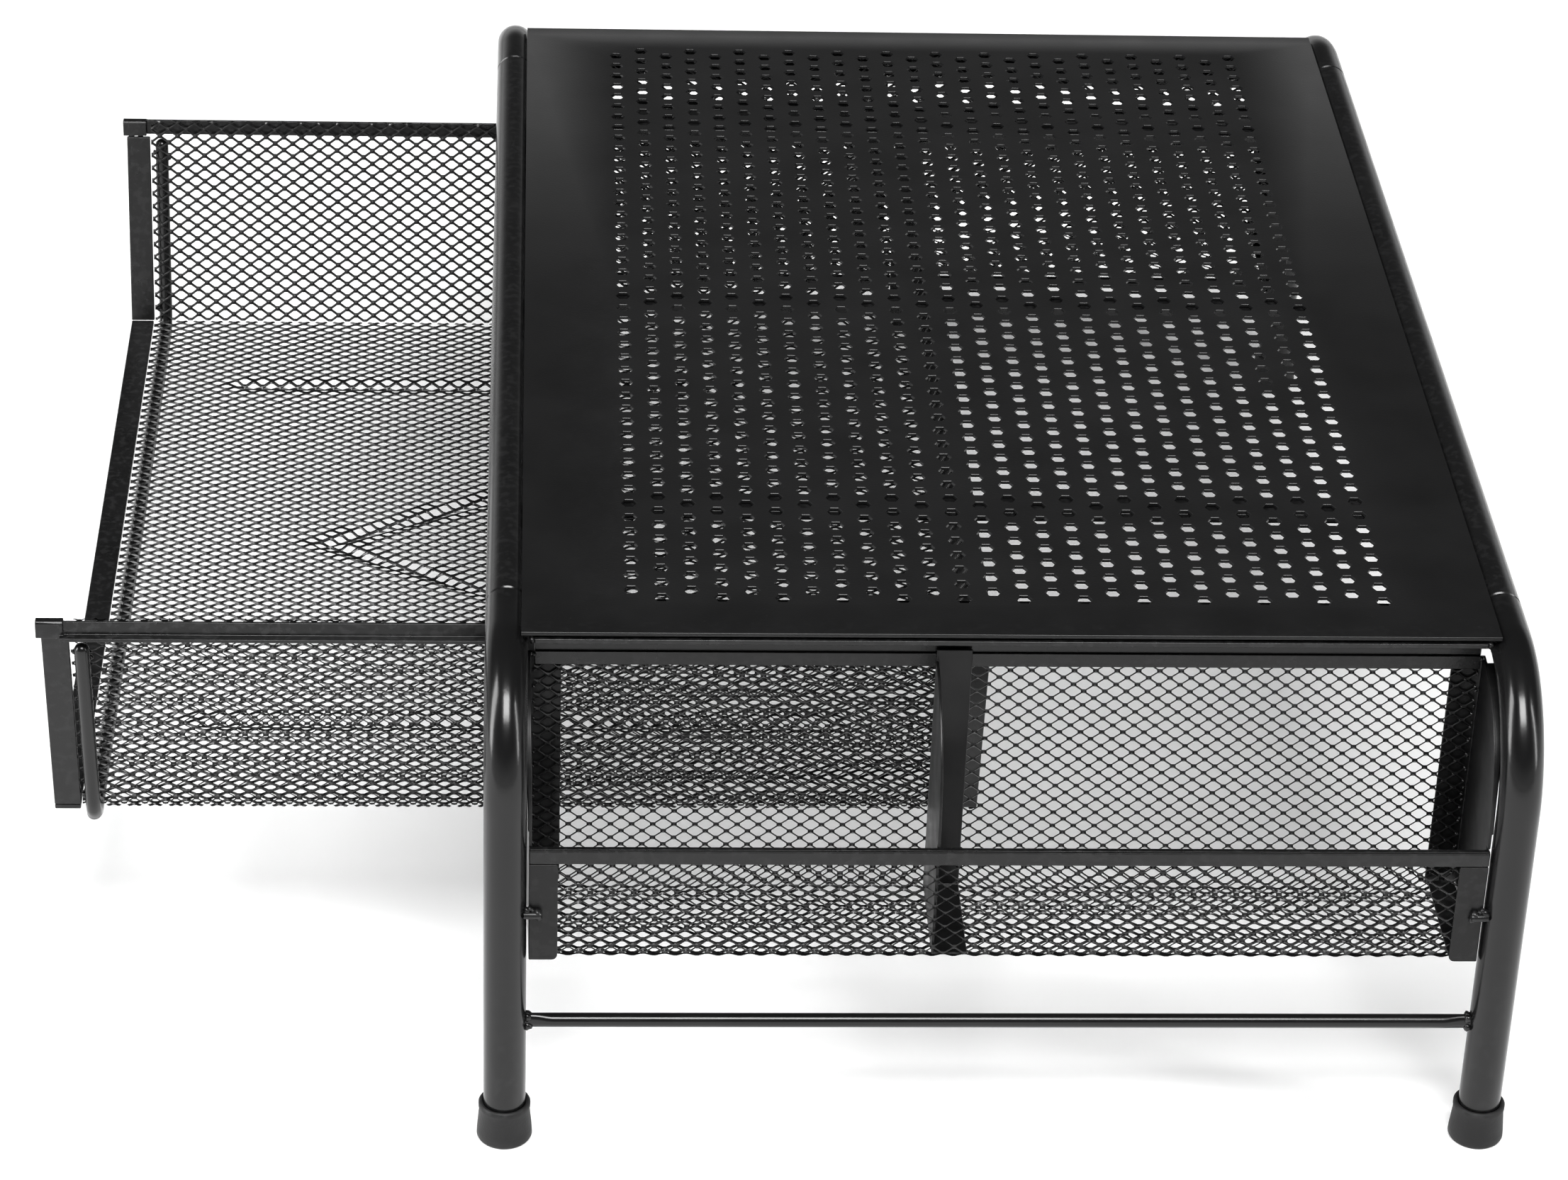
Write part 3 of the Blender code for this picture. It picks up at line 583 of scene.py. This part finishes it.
# ---- mesh of the end bins ----
MESH_TUCK = 1 * MM            # how far the mesh goes into the lip bar and the top rail
MESH_BEND = 1.5 * MM


def build_bin_basket(hand):
    """One sheet of mesh folded into the back wall, floor and low front wall."""
    node = f"{hand}_bin_basket_mesh"
    low, high = box_of(node)
    back, front = span_y(low, high)
    back, front = back + MESH_THICK / 2, front - MESH_THICK / 2
    floor, lip = low.z + MESH_THICK / 2, box_of(f"{hand}_bin_lip_bar")[0].z + MESH_TUCK
    profile = [(front, lip), (front, floor), (back, floor), (back, high.z - MESH_TUCK)]
    at, length = bent(profile, MESH_BEND)
    bm = mesh_sheet((low.x, high.x), (0, length), MESH_SHORT_WALL)
    for vert in bm.verts:
        u, v, h = vert.co
        spot, outward = at(v)
        spot = spot + outward * h
        vert.co = Vector((u, SIDE[hand] * spot.x, spot.y))
    finish_mesh(node, bm, "stand")


# ---- mesh of the drawer ----
GROOVE_DEPTH = 1.5 * MM
GROOVE_HALF = 4.0 * MM        # half its width
GROOVE_Y = 104.5 * MM         # straight grooves either side of the drawer's floor
GROOVE_START = 41 * MM        # from the drawer's front edge to a groove's rounded end
DIAMOND_TIP = 72 * MM         # from the front edge to the tip of the diamond groove
DIAMOND_SLOPE = 0.55          # of its sides
RAGGED = 0.5 * MM             # the strands of a sheared edge differ by up to this


def distance_to_segment(p, a, b):
    along = b - a
    t = min(max((p - a).dot(along) / along.length_squared, 0.0), 1.0)
    return (p - a - along * t).length


def floor_grooves(front_x, back_x):
    """The lines pressed into the drawer's floor: two long ones and a diamond in the middle."""
    start, end = front_x + GROOVE_START, back_x - GROOVE_START
    tip, tail = front_x + DIAMOND_TIP, back_x - DIAMOND_TIP
    middle = (tip + tail) / 2
    rise = (middle - tip) * DIAMOND_SLOPE
    lines = [(Vector((start, s * GROOVE_Y)), Vector((end, s * GROOVE_Y))) for s in (1, -1)]
    for s in (1, -1):
        for x in (tip, tail):
            lines.append((Vector((x, 0)), Vector((middle, s * rise))))
    return lines


def ragged_top(bm, height, seed):
    """Strand ends sheared off unevenly just above the rim."""
    pick = random.Random(seed)
    for vert in bm.verts:
        if vert.co.y > height - 0.01 * MM:
            vert.co.y -= pick.uniform(0.0, RAGGED)


def build_drawer_wall(hand):
    """Sloping side wall, up behind the rim, with its cut strand ends just above it."""
    node = f"drawer_side_mesh_{hand}"
    low, high = box_of(node)
    foot, top = span_y(low, high)
    height = math.hypot(top - foot, high.z - low.z) + 0.1 * MM
    slope = Vector((top - foot - MESH_THICK, high.z - low.z)).normalized()
    bm = mesh_sheet((low.x, high.x), (0, height), MESH_SHORT_WALL)
    ragged_top(bm, height, 3)
    for vert in bm.verts:
        u, v, h = vert.co
        across = foot + MESH_THICK / 2 + slope.x * v + slope.y * h
        vert.co = Vector((u, SIDE[hand] * across, low.z + slope.y * v - slope.x * h))
    finish_mesh(node, bm, "drawer")


def build_drawer_floor():
    """Flat mesh with grooves pressed down into it."""
    node = "drawer_floor_mesh"
    low, high = box_of(node)
    bm = mesh_sheet((low.x, high.x), (low.y, high.y), MESH_SHORT_FLOOR, twist=-STRAND_TWIST)
    grooves = floor_grooves(box_of("drawer_front_sill")[0].x, high.x)
    middle_z = (low.z + high.z) / 2
    for vert in bm.verts:
        spot = vert.co.xy
        near = min(distance_to_segment(spot, a, b) for a, b in grooves)
        press = max(0.0, 1 - near / GROOVE_HALF)
        vert.co.z = middle_z + vert.co.z - GROOVE_DEPTH * press * press * (3 - 2 * press)
    finish_mesh(node, bm, "drawer")


def build_drawer_back():
    """Upright back wall, narrower at the floor because the sides lean outward."""
    node = "drawer_back_mesh"
    low, high = box_of(node)
    narrow = high.y - post_slope("back") * (high.z - low.z)
    outline = [(-narrow, low.z), (narrow, low.z), (high.y, high.z), (-high.y, high.z)]
    bm = mesh_sheet((low.y, high.y), (low.z, high.z), MESH_SHORT_WALL, outline)
    ragged_top(bm, high.z, 5)
    x = (low.x + high.x) / 2
    for vert in bm.verts:
        u, v, h = vert.co
        vert.co = Vector((x + h, u, v))
    finish_mesh(node, bm, "drawer")


# ---- end plates and dividers ----
PLATE_SPLAY = 0.023           # an end plate leans outward from front to back by this slope
RIM_WIDTH = 3.0 * MM          # turned edge along the curve, which stops just short of the leg
RIM_SHEET = 0.8 * MM
RIM_STEPS = 26
FLOOR_FOLD = 8 * MM           # width of the fold along the bin's floor
LEG_BEND = (190.35 * MM, 111.0 * MM)      # centre of the leg's bend, (y, z)
LEG_AXIS = (140 * MM, 225.35 * MM)        # a leg's axis from the stand's middle, (x, y)
LEG_CLEAR = 6.25 * MM         # the leg's radius and a hair's breadth


def leg_gap_x(y, z):
    """How far out from the stand's middle a piece may go at (y, z) before the leg."""
    if z > LEG_BEND[1]:
        distance = abs(BEND_RADIUS - math.hypot(y - LEG_BEND[0], z - LEG_BEND[1]))
    else:
        distance = abs(y - LEG_AXIS[1])
    return LEG_AXIS[0] - math.sqrt(max(0.0, LEG_CLEAR ** 2 - distance ** 2))


def add_plate_folds(bm, hand, end):
    """The edge turned outward along the curve, and the fold along the bin's floor."""
    sign, away = SIDE[hand], AWAY[end]
    low, high = box_of(f"{hand}_bin_end_plate_{end}")
    lip = box_of(f"{hand}_bin_lip_bar")[1].z
    back, front = span_y(low, high)
    flat = abs((low.x if away < 0 else high.x) - STAND_X) - PLATE_SPLAY * (front - back)
    centre_y, centre_z = back + 4.0 * MM, lip + 2.5 * MM
    half_y, half_z = front - 1.1 * MM - centre_y, high.z - centre_z

    def corner(x, y, z):
        return bm.verts.new((STAND_X + away * x, sign * y, z))

    rings = []
    for i in range(RIM_STEPS + 1):
        angle = math.radians(4 + 86 * i / RIM_STEPS)
        corners = []
        for inset, outer in ((0, 0), (0, 1), (RIM_SHEET, 1), (RIM_SHEET, 0)):
            y = centre_y + (half_y - inset) * math.cos(angle)
            z = centre_z + (half_z - inset) * math.sin(angle)
            x = flat - 0.4 * MM + PLATE_SPLAY * (front - y)
            if outer:
                x = max(min(leg_gap_x(y, z), flat + RIM_WIDTH), x + 0.2 * MM)
            corners.append(corner(x, y, z))
        rings.append(corners)
    for first, second in zip(rings, rings[1:]):
        join_rings(bm, first, second)
    cap_ends(bm, rings)
    x0, x1 = flat - FLOOR_FOLD, flat - 0.3 * MM
    y0, y1 = back + 2 * MM, front - 1.5 * MM
    floor = low.z + RIM_SHEET
    fold = [[corner(x, y, z) for x, y in ((x0, y0), (x1, y0), (x1, y1), (x0, y1))]
            for z in (floor, floor + RIM_SHEET)]
    join_rings(bm, *fold)
    cap_ends(bm, fold)
    bmesh.ops.recalc_face_normals(bm, faces=bm.faces)


# ---- welds ----
def weld_bead(name, spots, body, material=SHEET_PAINT):
    """Blobs of weld under the paint: (centre, radius) each, slightly irregular."""
    bm = bmesh.new()
    pick = random.Random(len(name) * 7 + len(spots))
    for centre, radius in spots:
        made = bmesh.ops.create_icosphere(bm, subdivisions=2, radius=radius)
        stretch = [pick.uniform(0.8, 1.2) for _ in range(3)]
        for vert in made["verts"]:
            bump = 1 + 0.12 * math.sin(vert.co.x / radius * 3 + vert.co.z / radius * 4)
            vert.co = Vector([c * k * bump for c, k in zip(vert.co, stretch)]) + Vector(centre)
    finish_piece(name, bm, material, body, (), 80.0)


def blobs(origin, away, sign, rows):
    """Spots for weld_bead from rows of (out, sideways, up, radius) in millimetres,
    out along away * X and sideways along sign * Y from the origin."""
    return [((origin[0] + away * out * MM, origin[1] + sign * sideways * MM, origin[2] + up * MM),
             radius * MM) for out, sideways, up, radius in rows]


def build_stud(hand, end):
    """Pin between the folded corner and the leg, with a blob of weld at each end."""
    node = f"{hand}_bin_stud_{end}"
    low, high = box_of(node)
    centre, radius = (low + high) / 2, (high.z - low.z) / 2
    away, sign = AWAY[end], SIDE[hand]
    stations = []
    for x, r in ((low.x - 1.0 * MM, radius * 0.9), (low.x, radius),
                 (high.x, radius), (high.x + 1.0 * MM, radius * 0.9)):
        stations.append((Vector((x, centre.y, centre.z)), Y_AXIS, Z_AXIS, r, r))
    bm = bmesh.new()
    sweep(bm, stations, 20)
    finish_piece(f"look_{node}", bm, SHEET_PAINT, "stand", [node])
    inner, outer = (high.x, low.x) if away < 0 else (low.x, high.x)
    y = centre.y - sign * radius * 0.6
    spots = blobs((inner, y, centre.z), away, sign, [(0, 0, 0.3, 1.5), (-0.5, 0, -1.2, 1.0)])
    spots += blobs((outer, y, centre.z), away, sign,
                   [(0.2, 0, 1.0, 1.3), (-0.6, 0, 1.7, 0.9), (-1.4, 0, 1.2, 0.7)])
    weld_bead(f"{node}_weld", spots, "stand")


def build_bin_welds(hand):
    """Weld beads where a bin's top rail and end plates meet, and along the rear fold."""
    sign = SIDE[hand]
    low, high = box_of(f"{hand}_bin_top_rail")
    inside, flange = span_y(low, high)
    bottom = box_of(f"{hand}_bin_basket_mesh")[0].z + 3 * MM
    for end in ENDS:
        away = AWAY[end]
        x = low.x if away < 0 else high.x
        spots = blobs((x, sign * flange, high.z), away, sign,
                      [(0.6, -1.2, -0.9, 0.95), (1.0, -3.0, -0.9, 0.8), (0.3, -5.2, -2.4, 0.85)])
        spots += blobs((x, sign * flange, low.z), away, sign, [(0.2, -7.4, 3.6, 0.8)])
        pick = random.Random(11)
        z = low.z - 3 * MM
        while z > bottom:
            spots += blobs((x, sign * inside, z), away, sign,
                           [(0.15, -0.4, 0, pick.uniform(0.35, 0.55))])
            z -= pick.uniform(4.0, 6.5) * MM
        weld_bead(f"{hand}_bin_{end}_welds", spots, "stand")


def build_other_welds():
    """Welds of the lower rods on the legs, and of the drawer's blocks, posts and rod."""
    rod_low, rod_high = box_of("drawer_u_rod")
    for hand in HANDS:
        sign = SIDE[hand]
        low, high = box_of(f"lower_cross_rod_{hand}")
        centre = (low + high) / 2
        spots = []
        for away, x in ((-1, low.x), (1, high.x)):
            spots += blobs((x, centre.y, centre.z), away, 1,
                           [(-0.2, 0.9, 1.4, 1.3), (-0.2, -0.9, 1.5, 1.3),
                            (-0.2, 0.9, -1.4, 1.3), (-0.2, -0.9, -1.3, 1.3)])
        weld_bead(f"lower_cross_rod_{hand}_welds", spots, "stand", TUBE_PAINT)
        low, high = box_of(f"drawer_front_post_{hand}")
        foot, top = span_y(low, high)
        rod_x = (rod_low.x + rod_high.x) / 2
        spots = blobs((low.x, sign * top, high.z), 1, sign,
                      [(1.5, 0.2, 0.1, 0.9), (4.5, 0.3, 0, 0.8)])
        spots += blobs((rod_x, sign * top, rod_high.z), 1, sign,
                       [(-2.3, -0.6, -4, 0.8), (2.3, -0.9, -6, 0.8)])
        spots += blobs((rod_x, sign * foot, low.z), 1, sign, [(-2.2, 2.2, 4, 0.9)])
        weld_bead(f"drawer_{hand}_welds", spots, "drawer")


# ---- camera, floor and lights ----
CAMERA_FROM_STAND = Vector((-132.9, -1304.3, 839.7)) * MM
CAMERA_TURN = 3.568           # degrees: to the right of +Y, down, and tilted
CAMERA_DOWN = 31.245
CAMERA_TILT = 2.209
CAMERA_LENS = 108.87          # millimetres, on a sensor 36 mm wide
CAMERA_SHIFT = (-0.0008, -0.0025)


def build_camera():
    data = bpy.data.cameras.new("camera")
    data.lens = CAMERA_LENS
    data.sensor_width = 36.0
    data.shift_x, data.shift_y = CAMERA_SHIFT
    data.clip_start, data.clip_end = 0.05, 20.0
    camera = bpy.data.objects.new("camera", data)
    turn = Matrix.Rotation(math.radians(-CAMERA_TURN), 4, "Z")
    down = Matrix.Rotation(math.radians(90 - CAMERA_DOWN), 4, "X")
    tilt = Matrix.Rotation(math.radians(CAMERA_TILT), 4, "Z")
    place = Matrix.Translation(CAMERA_FROM_STAND + Vector((STAND_X, 0, 0)))
    camera.matrix_world = place @ turn @ down @ tilt
    bpy.context.scene.collection.objects.link(camera)
    bpy.context.scene.camera = camera


def build_floor():
    """Plain white floor that glows a little, like a retouched background."""
    bm = bmesh.new()
    bmesh.ops.create_grid(bm, x_segments=1, y_segments=1, size=6.0)
    mesh = bpy.data.meshes.new("floor")
    bm.to_mesh(mesh)
    bm.free()
    floor = bpy.data.objects.new("floor", mesh)
    material = bpy.data.materials.new("floor_white")
    shader = nodes_of(material)[0]["Principled BSDF"]
    for socket, value in (("Base Color", level(0.86)), ("Emission Color", level(1.0)),
                          ("Emission Strength", 0.18), ("Roughness", 0.9),
                          ("Specular IOR Level", 0.1)):
        shader.inputs[socket].default_value = value
    mesh.materials.append(material)
    bpy.context.scene.collection.objects.link(floor)


def area_light(name, place, target, size, watts):
    data = bpy.data.lights.new(name, "AREA")
    data.shape = "RECTANGLE"
    data.size, data.size_y = size
    data.energy = watts
    light = bpy.data.objects.new(name, data)
    light.location = place
    light.rotation_mode = "QUATERNION"
    light.rotation_quaternion = (Vector(target) - Vector(place)).to_track_quat("-Z", "Y")
    bpy.context.scene.collection.objects.link(light)


def build_lights():
    """Large key light behind the camera, two side boxes and a sky that darkens upward."""
    aim = (STAND_X, 0, 0.08)
    area_light("key", (STAND_X, -1.25, 2.0), aim, (1.1, 0.8), 68)
    area_light("left_box", (STAND_X - 1.5, -0.35, 0.8), aim, (0.45, 1.4), 28)
    area_light("right_strip", (STAND_X + 1.5, -0.75, 0.8), aim, (0.16, 1.3), 13)
    world = bpy.data.worlds.new("studio")
    bpy.context.scene.world = world
    nodes, links = nodes_of(world)
    direction = nodes.new("ShaderNodeTexCoord")
    split = nodes.new("ShaderNodeSeparateXYZ")
    links.new(direction.outputs["Generated"], split.inputs["Vector"])
    fade = ramp(nodes, links, split.outputs["Z"], (0.02, level(0.95)), (0.32, level(0.07)))
    links.new(fade.outputs["Color"], nodes["Background"].inputs["Color"])
    bpy.context.scene.view_settings.view_transform = "Standard"


# ---- assembly ----
def strip_nodes():
    """CAD pieces of folded or cut steel whose shape only needs rounded edges."""
    names = [f"cross_brace_{place}" for place in ("left", "middle", "right")]
    names += ["drawer_rim_back", "drawer_front_sill"]
    for hand in HANDS:
        names += [f"drawer_rail_{hand}", f"drawer_rim_{hand}", f"drawer_front_post_{hand}",
                  f"drawer_back_post_{hand}", f"{hand}_bin_top_rail", f"{hand}_bin_lip_bar"]
    return names


build_platform()
for end in ENDS:
    build_top_tube(end)
    for hand in HANDS:
        build_leg(end, hand)
        build_foot_cap(end, hand)
        build_stud(hand, end)
for hand in HANDS:
    build_lower_rod(hand)
    build_bin_basket(hand)
    build_bin_welds(hand)
    build_drawer_wall(hand)
build_other_welds()
build_u_rod()
build_drawer_floor()
build_drawer_back()
for name in strip_nodes():
    rounded_copy(name, SHEET_PAINT, LIP_ROUND if "lip_bar" in name else EDGE_ROUND)
for hand in HANDS:
    rounded_copy(f"{hand}_bin_divider", PLATE_PAINT)
    for end in ENDS:
        rounded_copy(f"{hand}_bin_end_plate_{end}", PLATE_PAINT,
                     extra=lambda bm: add_plate_folds(bm, hand, end))
build_camera()
build_floor()
build_lights()
